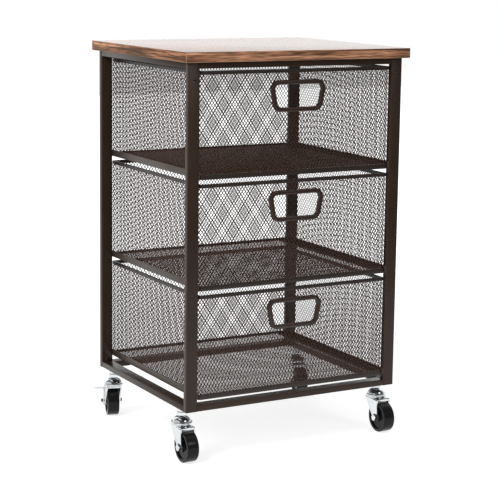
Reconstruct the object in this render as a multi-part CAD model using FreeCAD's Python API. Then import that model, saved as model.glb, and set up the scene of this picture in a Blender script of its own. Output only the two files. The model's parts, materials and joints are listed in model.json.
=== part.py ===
import FreeCAD, Part
import math
import os
from FreeCAD import Vector

# Frame of rectangular steel tube, all one stock. Millimetres throughout.
FRAME_W = 392.0
FRAME_D = 330.0
TUBE_W = 20.0
TUBE_T = 10.0
TUBE_WALL = 1.2
TUBE_EDGE_CUT = 1.0
POST_END_T = 2.0

# Wooden top board, lying on the frame and standing over it all round.
BOARD_T = 16.0
BOARD_OVER_SIDE = 9.0
BOARD_OVER_FRONT = 10.0
BOARD_EDGE_CUT = 0.8

# Drawers, one above the other between the posts.
TIERS = ("top", "middle", "bottom")
DRAWER_H = 168.0
DRAWER_GAP = 7.0
TOP_GAP = 3.5
FLOOR_GAP = 8.0
DRAWER_SIDE_GAP = 2.5
DRAWER_SETBACK = 1.5
DRAWER_CORNER_R = 5.0
BAR_T = 4.0
RIM_H = 6.0
BAND_H = 8.0
FLOOR_LIFT = 4.5
FLOOR_CORNER_CUT = 3.0

# Mesh walls: the diamonds are drawn coarse, with a plain border at each edge.
MESH_T = 1.2
MESH_INSET = 0.3
NET_CELL_W = 64.0
NET_CELL_H = 140.0
NET_BORDER = 3.0
NET_STRAND = 3.0

# Handle ring: a rounded trapezoid, wider at the top, let into the front mesh.
HANDLE_TOP_W = 105.0
HANDLE_BOTTOM_W = 86.0
HANDLE_H = 50.0
HANDLE_BAR = 7.0
HANDLE_DEPTH = 8.0
HANDLE_DROP = 11.5
HANDLE_PROUD = 3.0
HANDLE_CORNER_R = 14.0

# Angle runners on the inner sides of the posts.
RUNNER_T = 1.5
RUNNER_LEDGE = 12.0
RUNNER_H = 11.0
RUNNER_LIFT = 1.5
RUNNER_END_GAP = 0.5

# Casters: threaded stem, bearing cap, fork with its axle bolt, wheel and brake lever.
WHEEL_D = 50.0
WHEEL_W = 20.0
AXLE_D = 6.0
AXLE_HEX_D = 11.0
AXLE_HEX_H = 3.5
TRAIL = 18.0
FORK_T = 2.5
FORK_SIDE_GAP = 1.0
FORK_BEND_R = 3.0
FORK_EYE_R = 6.5
CROWN_T = 2.2
CROWN_AHEAD = 13.5
CROWN_BEHIND = 21.0
CROWN_LIP = 5.0
WHEEL_CLEAR = 4.8
CAP_D = 35.0
CAP_H = 15.0
CAP_RIM_H = 5.0
CAP_NECK_D = 17.0
HEX_AF = 13.0
HEX_H = 12.2
STEM_D = 10.0
STEM_REACH = 7.0
KINGPIN_D = 8.0
STEM_SETBACK = 34.5
REAR_TURN_DEG = 17.0
LEVER_T = 2.0
LEVER_FOOT = 7.0
LEVER_ARM_W = 10.0
LEVER_RISE = 26.0
TAB_L = 18.0
TAB_W = 16.0
TAB_CUT = 4.0

# Clearances: sliding and turning parts, the front bar's stop on the ledges, set-in parts.
GLIDE_GAP = 0.3
RUN_GAP = 0.05
STOP_GAP = 0.5
SET_GAP = 0.05

# Heights that follow from the pieces standing on each other.
AXLE_Z = WHEEL_D / 2
CROWN_Z = WHEEL_D + WHEEL_CLEAR
CROWN_TOP_Z = CROWN_Z + CROWN_T
CAP_Z = CROWN_TOP_Z + GLIDE_GAP
HEX_Z = CAP_Z + CAP_H
FRAME_Z = HEX_Z + HEX_H
LOWEST_DRAWER_Z = FRAME_Z + TUBE_T + FLOOR_GAP
TIER_PITCH = DRAWER_H + DRAWER_GAP
TOP_RAIL_Z = LOWEST_DRAWER_Z + len(TIERS) * TIER_PITCH - DRAWER_GAP + TOP_GAP
BOARD_Z = TOP_RAIL_Z + TUBE_T

# Half sizes and planes of the frame and the drawers.
HALF_W = FRAME_W / 2
HALF_D = FRAME_D / 2
POST_INNER_X = HALF_W - TUBE_W
RAIL_X = HALF_W - TUBE_W / 2
STEM_Y = HALF_D - STEM_SETBACK
DRAWER_W = 2 * (POST_INNER_X - DRAWER_SIDE_GAP)
DRAWER_FRONT_Y = -HALF_D + DRAWER_SETBACK
DRAWER_BACK_Y = HALF_D
LEDGE_TOP = RUNNER_LIFT + RUNNER_T
FORK_INNER_X = WHEEL_W / 2 + FORK_SIDE_GAP
FORK_OUTER_X = FORK_INNER_X + FORK_T


def block(x0, x1, y0, y1, z0, z1):
    return Part.makeBox(x1 - x0, y1 - y0, z1 - z0, Vector(x0, y0, z0))


def cylinder(radius, height, base, direction):
    return Part.makeCylinder(radius, height, base, direction)


def rounded_outline(points, radius):
    """Closed wire through flat points, each corner turned by an arc of the radius."""
    edges = []
    count = len(points)
    starts = []
    ends = []
    for i in range(count):
        here = points[i]
        before = (points[i - 1] - here).normalize()
        after = (points[(i + 1) % count] - here).normalize()
        half = before.getAngle(after) / 2
        reach = radius / math.tan(half)
        centre = here + (before + after).normalize() * (radius / math.sin(half))
        middle = centre + (here - centre).normalize() * radius
        starts.append(here + before * reach)
        ends.append(here + after * reach)
        edges.append(Part.Arc(starts[i], middle, ends[i]).toShape())
    for i in range(count):
        edges.append(Part.LineSegment(ends[i], starts[(i + 1) % count]).toShape())
    return Part.Wire(Part.__sortEdges__(edges))


def rectangle(width, height):
    return [Vector(-width / 2, -height / 2), Vector(width / 2, -height / 2),
            Vector(width / 2, height / 2), Vector(-width / 2, height / 2)]


def polygon_face(points):
    return Part.Face(Part.makePolygon(points + points[:1]))


def prism(wire, height):
    return Part.Face(wire).extrude(Vector(0, 0, height))


def tube(length, closed_end=0.0):
    """Upright length of the stock, its foot at the origin, wide side along X."""
    outer = block(-TUBE_W / 2, TUBE_W / 2, -TUBE_T / 2, TUBE_T / 2, 0, length)
    outer = outer.makeChamfer(TUBE_EDGE_CUT, [edge for edge in outer.Edges if edge.BoundBox.ZLength > TUBE_W])
    bore_w = TUBE_W - 2 * TUBE_WALL
    bore_t = TUBE_T - 2 * TUBE_WALL
    bore = block(-bore_w / 2, bore_w / 2, -bore_t / 2, bore_t / 2, closed_end, length)
    return outer.cut(bore)


def rail_along_y(x, z):
    """Side rail between a front and a rear post, flat side down."""
    rail = tube(FRAME_D - 2 * TUBE_T)
    rail.rotate(Vector(0, 0, 0), Vector(1, 0, 0), -90)
    rail.translate(Vector(x, -HALF_D + TUBE_T, z + TUBE_T / 2))
    return rail


def rail_along_x(y, z):
    """Cross rail between a left and a right post, flat side down."""
    rail = tube(2 * POST_INNER_X)
    rail.rotate(Vector(0, 0, 0), Vector(0, 0, 1), 90)
    rail.rotate(Vector(0, 0, 0), Vector(0, 1, 0), 90)
    rail.translate(Vector(-POST_INNER_X, y, z + TUBE_T / 2))
    return rail


# Top board, its edges just broken.
def top_board():
    half_w = HALF_W + BOARD_OVER_SIDE
    half_d = HALF_D + BOARD_OVER_FRONT
    board = block(-half_w, half_w, -half_d, half_d, BOARD_Z, BOARD_Z + BOARD_T)
    return board.makeChamfer(BOARD_EDGE_CUT, board.Edges)


# Posts stand on their closed ends; the rails run between them.
SIDES = {"left": -1, "right": 1}
ENDS = {"front": -1, "rear": 1}


def post(side, end):
    shaft = tube(BOARD_Z - FRAME_Z, POST_END_T)
    shaft.translate(Vector(SIDES[side] * RAIL_X, ENDS[end] * (HALF_D - TUBE_T / 2), FRAME_Z))
    return shaft


def bottom_side_rail(side):
    """Side rail with a hole in its lower wall for each caster stem."""
    rail = rail_along_y(SIDES[side] * RAIL_X, FRAME_Z)
    for end in ENDS.values():
        foot = Vector(SIDES[side] * RAIL_X, end * STEM_Y, FRAME_Z)
        rail = rail.cut(cylinder(STEM_D / 2 + SET_GAP, TUBE_WALL, foot, Vector(0, 0, 1)))
    return rail


# Runners: an upright wall against the posts and a ledge whose front end stops the drawer's front bar.
def runner(side, foot):
    sign = SIDES[side]
    wall_x = sorted((sign * POST_INNER_X, sign * (POST_INNER_X - RUNNER_T)))
    ledge_x = sorted((sign * POST_INNER_X, sign * (POST_INNER_X - RUNNER_LEDGE)))
    low = foot + RUNNER_LIFT
    end_y = HALF_D - RUNNER_END_GAP
    ledge_start = DRAWER_FRONT_Y + DRAWER_CORNER_R + STOP_GAP
    wall = block(wall_x[0], wall_x[1], -end_y, end_y, low, low + RUNNER_H)
    ledge = block(ledge_x[0], ledge_x[1], ledge_start, end_y, low, low + RUNNER_T)
    return wall.fuse(ledge).removeSplitter()


# Drawers: every hoop follows one rounded plan.
DRAWER_MID_Y = (DRAWER_FRONT_Y + DRAWER_BACK_Y) / 2
DRAWER_D = DRAWER_BACK_Y - DRAWER_FRONT_Y
MESH_MID = MESH_INSET + MESH_T / 2


def plan(inset):
    return rounded_outline(rectangle(DRAWER_W - 2 * inset, DRAWER_D - 2 * inset), DRAWER_CORNER_R - inset)


def hoop(inset, thickness, low, high):
    ring = prism(plan(inset), high - low).cut(prism(plan(inset + thickness), high - low))
    ring.translate(Vector(0, DRAWER_MID_Y, low))
    return ring


def drawer_rim(foot):
    return hoop(0, BAR_T, foot + DRAWER_H - RIM_H, foot + DRAWER_H)


def drawer_band(foot):
    """Hoop that rides on the ledges, with a front bar that hangs in front of them."""
    ring = hoop(0, BAR_T, foot + LEDGE_TOP + GLIDE_GAP, foot + BAND_H)
    lip = hoop(0, BAR_T, foot, foot + BAND_H)
    front = block(-DRAWER_W, DRAWER_W, DRAWER_FRONT_Y, DRAWER_FRONT_Y + DRAWER_CORNER_R, foot, foot + BAND_H)
    return ring.fuse(lip.common(front)).removeSplitter()


def diamond(x, y, half_w, half_h):
    corners = [Vector(x - half_w, y), Vector(x, y - half_h), Vector(x + half_w, y), Vector(x, y + half_h)]
    return polygon_face(corners)


def diamond_net(width, height, window=None, margin=None):
    """Flat net about the origin: staggered diamonds in a plain border, kept off the margin of a window."""
    inner_w = width - 2 * NET_BORDER
    inner_h = height - 2 * NET_BORDER
    across = max(1, round(inner_w / NET_CELL_W))
    rows = max(1, round(inner_h / NET_CELL_H))
    step_x = inner_w / across / 2
    step_y = inner_h / rows / 2
    half_w = step_x - NET_STRAND
    half_h = half_w * step_y / step_x
    field = polygon_face(rectangle(inner_w, inner_h))
    gaps = []
    if window is not None:
        field = field.cut(margin)
        gaps.append(window)
    for i in range(2 * across + 1):
        for j in range(2 * rows + 1):
            if (i + j) % 2 == 1:
                gap = diamond(i * step_x - inner_w / 2, j * step_y - inner_h / 2, half_w, half_h)
                gaps += [face for face in gap.common(field).Faces if face.Area > NET_STRAND ** 2]
    return polygon_face(rectangle(width, height)).cut(gaps).Faces[0].extrude(Vector(0, 0, MESH_T))


def stand_up(panel, turn, place):
    """Stand a flat panel on edge, turn it about Z, and move its centre to the place."""
    panel.rotate(Vector(0, 0, 0), Vector(1, 0, 0), 90)
    panel.translate(Vector(0, MESH_T / 2, 0))
    panel.rotate(Vector(0, 0, 0), Vector(0, 0, 1), turn)
    panel.translate(place)
    return panel


WALL_LOW = BAND_H
WALL_HIGH = DRAWER_H - RIM_H
WALL_MID = (WALL_LOW + WALL_HIGH) / 2
WALL_H = WALL_HIGH - WALL_LOW
HANDLE_MID = WALL_HIGH - HANDLE_DROP - HANDLE_H / 2


def handle_corners(inset):
    """Corners of the trapezoid about its own middle, drawn in from the outer edge by the inset."""
    slope = (HANDLE_TOP_W - HANDLE_BOTTOM_W) / 2 / HANDLE_H
    half_h = HANDLE_H / 2 - inset
    half_mid = (HANDLE_TOP_W + HANDLE_BOTTOM_W) / 4 - inset * math.hypot(1, slope)
    top = half_mid + slope * half_h
    bottom = half_mid - slope * half_h
    return [Vector(-bottom, -half_h), Vector(bottom, -half_h), Vector(top, half_h), Vector(-top, half_h)]


def handle_outline(inset):
    return rounded_outline(handle_corners(inset), HANDLE_CORNER_R - inset)


def drawer_handle(foot):
    ring = prism(handle_outline(0), HANDLE_DEPTH).cut(prism(handle_outline(HANDLE_BAR), HANDLE_DEPTH))
    ring.rotate(Vector(0, 0, 0), Vector(1, 0, 0), 90)
    ring.translate(Vector(0, DRAWER_FRONT_Y - HANDLE_PROUD + HANDLE_DEPTH, foot + HANDLE_MID))
    return ring


def corner_wrap(foot, end):
    """The two rounded corners of the mesh at the front or the back end."""
    ring = hoop(MESH_INSET, MESH_T, foot + WALL_LOW, foot + WALL_HIGH)
    edge = DRAWER_FRONT_Y if end == "front" else DRAWER_BACK_Y
    near = sorted((edge, edge - ENDS[end] * DRAWER_CORNER_R))
    flat = DRAWER_W / 2 - DRAWER_CORNER_R
    wraps = []
    for side in SIDES.values():
        span = sorted((side * flat, side * DRAWER_W / 2))
        corner = block(span[0], span[1], near[0], near[1], foot + WALL_LOW, foot + WALL_HIGH)
        wraps.append(ring.common(corner))
    return wraps


def end_mesh(foot, end):
    window = None
    margin = None
    if end == "front":
        rise = Vector(0, HANDLE_MID - WALL_MID, 0)
        window = Part.Face(handle_outline(-SET_GAP))
        window.translate(rise)
        margin = polygon_face(handle_corners(-NET_STRAND))
        margin.translate(rise)
    edge = DRAWER_FRONT_Y if end == "front" else DRAWER_BACK_Y
    place = Vector(0, edge - ENDS[end] * MESH_MID, foot + WALL_MID)
    net = diamond_net(DRAWER_W - 2 * DRAWER_CORNER_R, WALL_H, window, margin)
    return stand_up(net, 0, place).fuse(corner_wrap(foot, end)).removeSplitter()


def side_mesh(foot, side):
    place = Vector(SIDES[side] * (DRAWER_W / 2 - MESH_MID), DRAWER_MID_Y, foot + WALL_MID)
    return stand_up(diamond_net(DRAWER_D - 2 * DRAWER_CORNER_R, WALL_H), 90, place)


def floor_mesh(foot):
    """Floor panel inside the band, its corners cut off to clear the band's bends."""
    net = diamond_net(DRAWER_W - 2 * BAR_T, DRAWER_D - 2 * BAR_T)
    upright = [edge for edge in net.Edges if edge.BoundBox.ZLength > MESH_T / 2]
    reach = max(edge.CenterOfMass.Length for edge in upright)
    corners = [edge for edge in upright if edge.CenterOfMass.Length > reach - NET_BORDER / 2]
    net = net.makeChamfer(FLOOR_CORNER_CUT, corners)
    net.translate(Vector(0, DRAWER_MID_Y, foot + FLOOR_LIFT))
    return net


# Casters are drawn at the origin, trailing towards +Y, then turned and moved to their stems.
def tangent_point(point, centre, radius, side):
    away = point - centre
    swing = math.acos(radius / away.Length) * side
    angle = math.atan2(away.y, away.x) + swing
    return centre + Vector(math.cos(angle), math.sin(angle)) * radius


def leg_outline():
    """Fork leg seen from the side: the crown's length above, drawn in to the axle eye below."""
    eye = Vector(TRAIL, AXLE_Z)
    front = Vector(-CROWN_AHEAD, CROWN_TOP_Z)
    back = Vector(CROWN_BEHIND, CROWN_TOP_Z)
    front_touch = tangent_point(front, eye, FORK_EYE_R, 1)
    back_touch = tangent_point(back, eye, FORK_EYE_R, -1)
    low = eye - ((front_touch + back_touch) / 2 - eye).normalize() * FORK_EYE_R
    return Part.Wire([Part.LineSegment(back, front).toShape(), Part.LineSegment(front, front_touch).toShape(),
                      Part.Arc(front_touch, low, back_touch).toShape(),
                      Part.LineSegment(back_touch, back).toShape()])


def side_plate(wire, x, thickness):
    """Plate whose outline lies in the YZ plane, from x towards +X."""
    plate = prism(wire, thickness)
    plate.rotate(Vector(0, 0, 0), Vector(1, 1, 1), 120)
    plate.translate(Vector(x, 0, 0))
    return plate


def hexagon(width):
    """Closed hexagon about the origin, its width taken over the corners."""
    return [Vector(width / 2 * math.cos(math.radians(60 * i)), width / 2 * math.sin(math.radians(60 * i)))
            for i in range(7)]


def axle_bolt(lever_room):
    """Bolt with its head on the -X side, outside a brake lever if there is one, and its nut on the other."""
    head_x = -FORK_OUTER_X - lever_room
    shank = cylinder(AXLE_D / 2, FORK_OUTER_X - head_x, Vector(head_x, TRAIL, AXLE_Z), Vector(1, 0, 0))
    outline = Part.makePolygon([Vector(TRAIL, AXLE_Z) + corner for corner in hexagon(AXLE_HEX_D)])
    head = side_plate(outline, head_x - AXLE_HEX_H, AXLE_HEX_H)
    nut = side_plate(outline, FORK_OUTER_X, AXLE_HEX_H)
    return [shank, head, nut]


def fork(lever_room):
    """Pressed fork: a bent channel cut to the legs' outline, a lip behind its crown, and the axle bolt."""
    reach = TRAIL + FORK_EYE_R
    channel = block(-FORK_OUTER_X, FORK_OUTER_X, -reach, reach, 0, CROWN_TOP_Z)
    upper = [edge for edge in channel.Edges if edge.BoundBox.ZMin > CROWN_Z]
    bends = [edge for edge in upper if edge.BoundBox.XLength < FORK_T]
    channel = channel.makeFillet(FORK_BEND_R, bends)
    channel = channel.cut(block(-FORK_INNER_X, FORK_INNER_X, -reach, reach, 0, CROWN_Z))
    body = channel.common(side_plate(leg_outline(), -FORK_OUTER_X, 2 * FORK_OUTER_X))
    lip_y = CROWN_BEHIND - FORK_T
    lip = block(-FORK_INNER_X, FORK_INNER_X, lip_y, CROWN_BEHIND, CROWN_TOP_Z - CROWN_LIP, CROWN_Z)
    body = body.fuse([lip] + axle_bolt(lever_room))
    return body.cut(cylinder(KINGPIN_D / 2 + RUN_GAP, CROWN_T, Vector(0, 0, CROWN_Z), Vector(0, 0, 1)))


def stem():
    """Threaded stem, hexagon, sloping bearing cap and kingpin, made as one."""
    outline = [(0, CROWN_Z), (KINGPIN_D / 2, CROWN_Z), (KINGPIN_D / 2, CAP_Z), (CAP_D / 2, CAP_Z),
               (CAP_D / 2, CAP_Z + CAP_RIM_H), (CAP_NECK_D / 2, HEX_Z), (0, HEX_Z)]
    body = polygon_face([Vector(r, 0, z) for r, z in outline]).revolve(Vector(0, 0, 0), Vector(0, 0, 1), 360)
    nut = prism(Part.makePolygon(hexagon(HEX_AF * 2 / math.sqrt(3))), HEX_H)
    nut.translate(Vector(0, 0, HEX_Z))
    body = body.fuse(nut)
    return body.fuse(cylinder(STEM_D / 2, STEM_REACH, Vector(0, 0, FRAME_Z), Vector(0, 0, 1)))


def wheel():
    """Moulded wheel that turns on the axle bolt."""
    start = Vector(-WHEEL_W / 2, TRAIL, AXLE_Z)
    disc = cylinder(WHEEL_D / 2, WHEEL_W, start, Vector(1, 0, 0))
    return disc.cut(cylinder(AXLE_D / 2 + RUN_GAP, WHEEL_W, start, Vector(1, 0, 0)))


def brake_lever():
    """Stamped lever that turns on the axle bolt, its tab bent outwards at the top."""
    inner_x = -FORK_OUTER_X - GLIDE_GAP
    arm_top = AXLE_Z + LEVER_RISE
    arm_y = (TRAIL - LEVER_ARM_W / 2, TRAIL + LEVER_ARM_W / 2)
    arm = block(inner_x - LEVER_T, inner_x, arm_y[0], arm_y[1], AXLE_Z - LEVER_FOOT, arm_top)
    tip = inner_x - TAB_L
    half = TAB_W / 2
    tab_outline = [Vector(inner_x, -half), Vector(inner_x, half), Vector(tip + TAB_CUT, half),
                   Vector(tip, half - TAB_CUT), Vector(tip, TAB_CUT - half), Vector(tip + TAB_CUT, -half)]
    tab = polygon_face(tab_outline).extrude(Vector(0, 0, LEVER_T))
    tab.translate(Vector(0, TRAIL, arm_top - LEVER_T))
    body = arm.fuse(tab).removeSplitter()
    bore = cylinder(AXLE_D / 2 + RUN_GAP, LEVER_T, Vector(inner_x, TRAIL, AXLE_Z), Vector(-1, 0, 0))
    return body.cut(bore)


CASTER_TURN_DEG = {"front_left": 180.0, "front_right": 180.0,
                   "rear_left": -REAR_TURN_DEG, "rear_right": 180.0 - REAR_TURN_DEG}
LEVER_ROOM = LEVER_T + 2 * GLIDE_GAP


def place_caster(shape, end, side):
    shape.rotate(Vector(0, 0, 0), Vector(0, 0, 1), CASTER_TURN_DEG[f"{end}_{side}"])
    shape.translate(Vector(SIDES[side] * RAIL_X, ENDS[end] * STEM_Y, 0))
    return shape


# The whole cabinet, one entry for each piece.
pieces = {"top_board": top_board()}
for end in ENDS:
    for side in SIDES:
        pieces[f"post_{end}_{side}"] = post(side, end)
    rail_y = ENDS[end] * (HALF_D - TUBE_W / 2)
    pieces[f"{end}_rail_top"] = rail_along_x(rail_y, TOP_RAIL_Z)
    pieces[f"{end}_rail_bottom"] = rail_along_x(rail_y, FRAME_Z)
for side in SIDES:
    pieces[f"side_rail_top_{side}"] = rail_along_y(SIDES[side] * RAIL_X, TOP_RAIL_Z)
    pieces[f"side_rail_bottom_{side}"] = bottom_side_rail(side)

for level, tier in enumerate(reversed(TIERS)):
    foot = LOWEST_DRAWER_Z + level * TIER_PITCH
    for side in SIDES:
        pieces[f"runner_{tier}_{side}"] = runner(side, foot)
        pieces[f"drawer_{tier}_mesh_{side}"] = side_mesh(foot, side)
    pieces[f"drawer_{tier}_rim"] = drawer_rim(foot)
    pieces[f"drawer_{tier}_band"] = drawer_band(foot)
    pieces[f"drawer_{tier}_mesh_front"] = end_mesh(foot, "front")
    pieces[f"drawer_{tier}_mesh_back"] = end_mesh(foot, "rear")
    pieces[f"drawer_{tier}_mesh_floor"] = floor_mesh(foot)
    pieces[f"drawer_{tier}_handle"] = drawer_handle(foot)

stems = []
for end in ENDS:
    for side in SIDES:
        braked = end == "rear"
        stems.append(place_caster(stem(), end, side))
        pieces[f"caster_fork_{end}_{side}"] = place_caster(fork(LEVER_ROOM if braked else 0.0), end, side)
        pieces[f"caster_wheel_{end}_{side}"] = place_caster(wheel(), end, side)
        if braked:
            pieces[f"brake_lever_{end}_{side}"] = place_caster(brake_lever(), end, side)
pieces["caster_stems"] = Part.makeCompound(stems)

os.makedirs("parts", exist_ok=True)
for name, shape in pieces.items():
    shape.exportStep(f"parts/{name}.step")
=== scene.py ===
import json
import math

import bmesh
import bpy
from mathutils import Matrix, Vector


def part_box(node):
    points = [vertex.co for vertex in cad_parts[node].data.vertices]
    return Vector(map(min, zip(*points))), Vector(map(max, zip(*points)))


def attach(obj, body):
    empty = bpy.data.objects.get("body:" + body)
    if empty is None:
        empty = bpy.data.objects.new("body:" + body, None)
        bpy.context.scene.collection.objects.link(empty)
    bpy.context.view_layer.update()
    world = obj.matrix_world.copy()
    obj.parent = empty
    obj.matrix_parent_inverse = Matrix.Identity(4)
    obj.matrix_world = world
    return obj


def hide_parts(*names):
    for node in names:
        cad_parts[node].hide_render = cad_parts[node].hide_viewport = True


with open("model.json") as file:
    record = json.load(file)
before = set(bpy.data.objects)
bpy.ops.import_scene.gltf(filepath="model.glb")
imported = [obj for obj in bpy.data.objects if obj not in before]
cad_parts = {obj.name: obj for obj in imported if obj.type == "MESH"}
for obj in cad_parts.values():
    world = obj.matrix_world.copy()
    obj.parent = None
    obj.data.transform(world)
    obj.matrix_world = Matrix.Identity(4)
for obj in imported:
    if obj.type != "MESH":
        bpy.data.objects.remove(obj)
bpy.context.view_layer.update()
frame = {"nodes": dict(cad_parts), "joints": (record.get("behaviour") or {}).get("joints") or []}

# Frame: four posts and eight rails of one rectangular steel tube, welded into a box.
# The tube is powder coated in a dark bronze that has a fine orange-peel grain and is
# rubbed a little lighter where hands and drawers pass its edges.
MM = 0.001
SIDES = ("left", "right")
ENDS = ("front", "rear")
TIERS = ("top", "middle", "bottom")
RAIL_LEVELS = ("top", "bottom")
BRONZE = (0.04, 0.023, 0.0155, 1.0)
BRONZE_RUBBED = (0.075, 0.054, 0.041, 1.0)
TUBE_EDGE_R = 0.35 * MM
MERGE_DIST = 0.002 * MM
FLAT_ANGLE = math.radians(1.0)
SHARP_ANGLE = math.radians(28.0)
GRAIN_SCALE = 1400.0
GRAIN_RELIEF = 0.05 * MM
GRAIN_DETAIL = 2.0
CLOUD_SCALE = 22.0
CLOUD_DETAIL = 4.0
CLOUD_SHARE = 0.25
RUB = 0.5
# Pointiness range of the lighter edges: rubbed wear, and on the wheels a painted highlight.
WEAR_AND_HIGHLIGHT_POINTINESS = (0.515, 0.6)
SATIN = (0.36, 0.52)
FRAME_SATIN = (0.26, 0.36)


def add_socket(group, name, way, kind, default=None):
    socket = group.interface.new_socket(name=name, in_out=way, socket_type=kind)
    if default is not None:
        socket.default_value = default
    return socket


def math_node(tree, operation, *values):
    """Output of a Math node whose inputs are plain numbers or other nodes' outputs."""
    node = tree.nodes.new("ShaderNodeMath")
    node.operation = operation
    for socket, value in zip(node.inputs, values):
        if isinstance(value, (int, float)):
            socket.default_value = value
        else:
            tree.links.new(value, socket)
    return node.outputs["Value"]


def coat_grain_group():
    """Colour, roughness and height of a sprayed or rolled coat: cloudy tone, fine grain, lighter arrises
    (rubbed wear on the coats, a painted highlight on the black wheels).
    """
    group = bpy.data.node_groups.new("coat_grain", "ShaderNodeTree")
    add_socket(group, "Coat Color", "INPUT", "NodeSocketColor", BRONZE)
    add_socket(group, "Wear And Highlight Color", "INPUT", "NodeSocketColor", BRONZE_RUBBED)
    add_socket(group, "Grain Scale", "INPUT", "NodeSocketFloat", GRAIN_SCALE)
    add_socket(group, "Wear And Highlight Share", "INPUT", "NodeSocketFloat", RUB)
    add_socket(group, "Roughness Low", "INPUT", "NodeSocketFloat", SATIN[0])
    add_socket(group, "Roughness High", "INPUT", "NodeSocketFloat", SATIN[1])
    add_socket(group, "Color", "OUTPUT", "NodeSocketColor")
    add_socket(group, "Roughness", "OUTPUT", "NodeSocketFloat")
    add_socket(group, "Height", "OUTPUT", "NodeSocketFloat")
    nodes = group.nodes
    links = group.links
    given = nodes.new("NodeGroupInput")
    result = nodes.new("NodeGroupOutput")
    place = nodes.new("ShaderNodeTexCoord")
    cloud = nodes.new("ShaderNodeTexNoise")
    cloud.inputs["Scale"].default_value = CLOUD_SCALE
    cloud.inputs["Detail"].default_value = CLOUD_DETAIL
    grain = nodes.new("ShaderNodeTexNoise")
    grain.inputs["Detail"].default_value = GRAIN_DETAIL
    links.new(place.outputs["Object"], cloud.inputs["Vector"])
    links.new(place.outputs["Object"], grain.inputs["Vector"])
    links.new(given.outputs["Grain Scale"], grain.inputs["Scale"])
    tone = nodes.new("ShaderNodeMix")
    tone.data_type = "RGBA"
    tone.blend_type = "MULTIPLY"
    tone.inputs["Factor"].default_value = CLOUD_SHARE
    links.new(given.outputs["Coat Color"], tone.inputs["A"])
    links.new(cloud.outputs["Fac"], tone.inputs["B"])
    # Lighter colour on sharp edges: rubbed wear on the coats, and a painted highlight on the black wheels.
    geometry = nodes.new("ShaderNodeNewGeometry")
    edge = nodes.new("ShaderNodeMapRange")
    edge.inputs["From Min"].default_value = WEAR_AND_HIGHLIGHT_POINTINESS[0]
    edge.inputs["From Max"].default_value = WEAR_AND_HIGHLIGHT_POINTINESS[1]
    links.new(geometry.outputs["Pointiness"], edge.inputs["Value"])
    broken = math_node(group, "MULTIPLY", edge.outputs["Result"], cloud.outputs["Fac"])
    wear_and_highlight_share = math_node(group, "MULTIPLY", broken, given.outputs["Wear And Highlight Share"])
    pale_edge_mix = nodes.new("ShaderNodeMix")
    pale_edge_mix.data_type = "RGBA"
    links.new(wear_and_highlight_share, pale_edge_mix.inputs["Factor"])
    links.new(tone.outputs["Result"], pale_edge_mix.inputs["A"])
    links.new(given.outputs["Wear And Highlight Color"], pale_edge_mix.inputs["B"])
    rough = nodes.new("ShaderNodeMapRange")
    links.new(grain.outputs["Fac"], rough.inputs["Value"])
    links.new(given.outputs["Roughness Low"], rough.inputs["To Min"])
    links.new(given.outputs["Roughness High"], rough.inputs["To Max"])
    links.new(pale_edge_mix.outputs["Result"], result.inputs["Color"])
    links.new(rough.outputs["Result"], result.inputs["Roughness"])
    links.new(grain.outputs["Fac"], result.inputs["Height"])
    return group


COAT_GRAIN = coat_grain_group()


def coated(name, color, wear_and_highlight_color, grain_scale=GRAIN_SCALE, wear_and_highlight_share=RUB, rough=SATIN, bump=0.12, metallic=0.0,
           shine=0.5):
    """Material that lays the shared coat grain over a plain Principled surface."""
    material = bpy.data.materials.new(name)
    material.use_nodes = True
    nodes = material.node_tree.nodes
    links = material.node_tree.links
    surface = nodes["Principled BSDF"]
    surface.inputs["Metallic"].default_value = metallic
    surface.inputs["Specular IOR Level"].default_value = shine
    grain = nodes.new("ShaderNodeGroup")
    grain.node_tree = COAT_GRAIN
    grain.inputs["Coat Color"].default_value = color
    grain.inputs["Wear And Highlight Color"].default_value = wear_and_highlight_color
    grain.inputs["Grain Scale"].default_value = grain_scale
    grain.inputs["Wear And Highlight Share"].default_value = wear_and_highlight_share
    grain.inputs["Roughness Low"].default_value = rough[0]
    grain.inputs["Roughness High"].default_value = rough[1]
    relief = nodes.new("ShaderNodeBump")
    relief.inputs["Strength"].default_value = bump
    relief.inputs["Distance"].default_value = GRAIN_RELIEF
    links.new(grain.outputs["Color"], surface.inputs["Base Color"])
    links.new(grain.outputs["Roughness"], surface.inputs["Roughness"])
    links.new(grain.outputs["Height"], relief.inputs["Height"])
    links.new(relief.outputs["Normal"], surface.inputs["Normal"])
    return material


def put(name, mesh, material):
    """Object of a finished mesh, at the origin, with its one material."""
    mesh.materials.clear()
    mesh.materials.append(material)
    piece = bpy.data.objects.new(name, mesh)
    bpy.context.scene.collection.objects.link(piece)
    return piece


def smooth(mesh):
    mesh.polygons.foreach_set("use_smooth", [True] * len(mesh.polygons))
    mesh.set_sharp_from_angle(angle=SHARP_ANGLE)


def softened(node, material, edge_r, rounds=2):
    """Copy of a solid's mesh with its flats joined and its sharp edges rounded, standing for the solid."""
    mesh = frame["nodes"][node].data.copy()
    shape = bmesh.new()
    shape.from_mesh(mesh)
    bmesh.ops.remove_doubles(shape, verts=shape.verts, dist=MERGE_DIST)
    bmesh.ops.dissolve_limit(shape, angle_limit=FLAT_ANGLE, verts=shape.verts, edges=shape.edges)
    sharp = [e for e in shape.edges if len(e.link_faces) == 2 and e.calc_face_angle() > SHARP_ANGLE]
    bmesh.ops.bevel(shape, geom=sharp, offset=edge_r, segments=rounds, profile=0.5, affect="EDGES",
                    clamp_overlap=True)
    shape.to_mesh(mesh)
    shape.free()
    smooth(mesh)
    piece = put(node + "_finished", mesh, material)
    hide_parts(node)
    return piece


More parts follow.
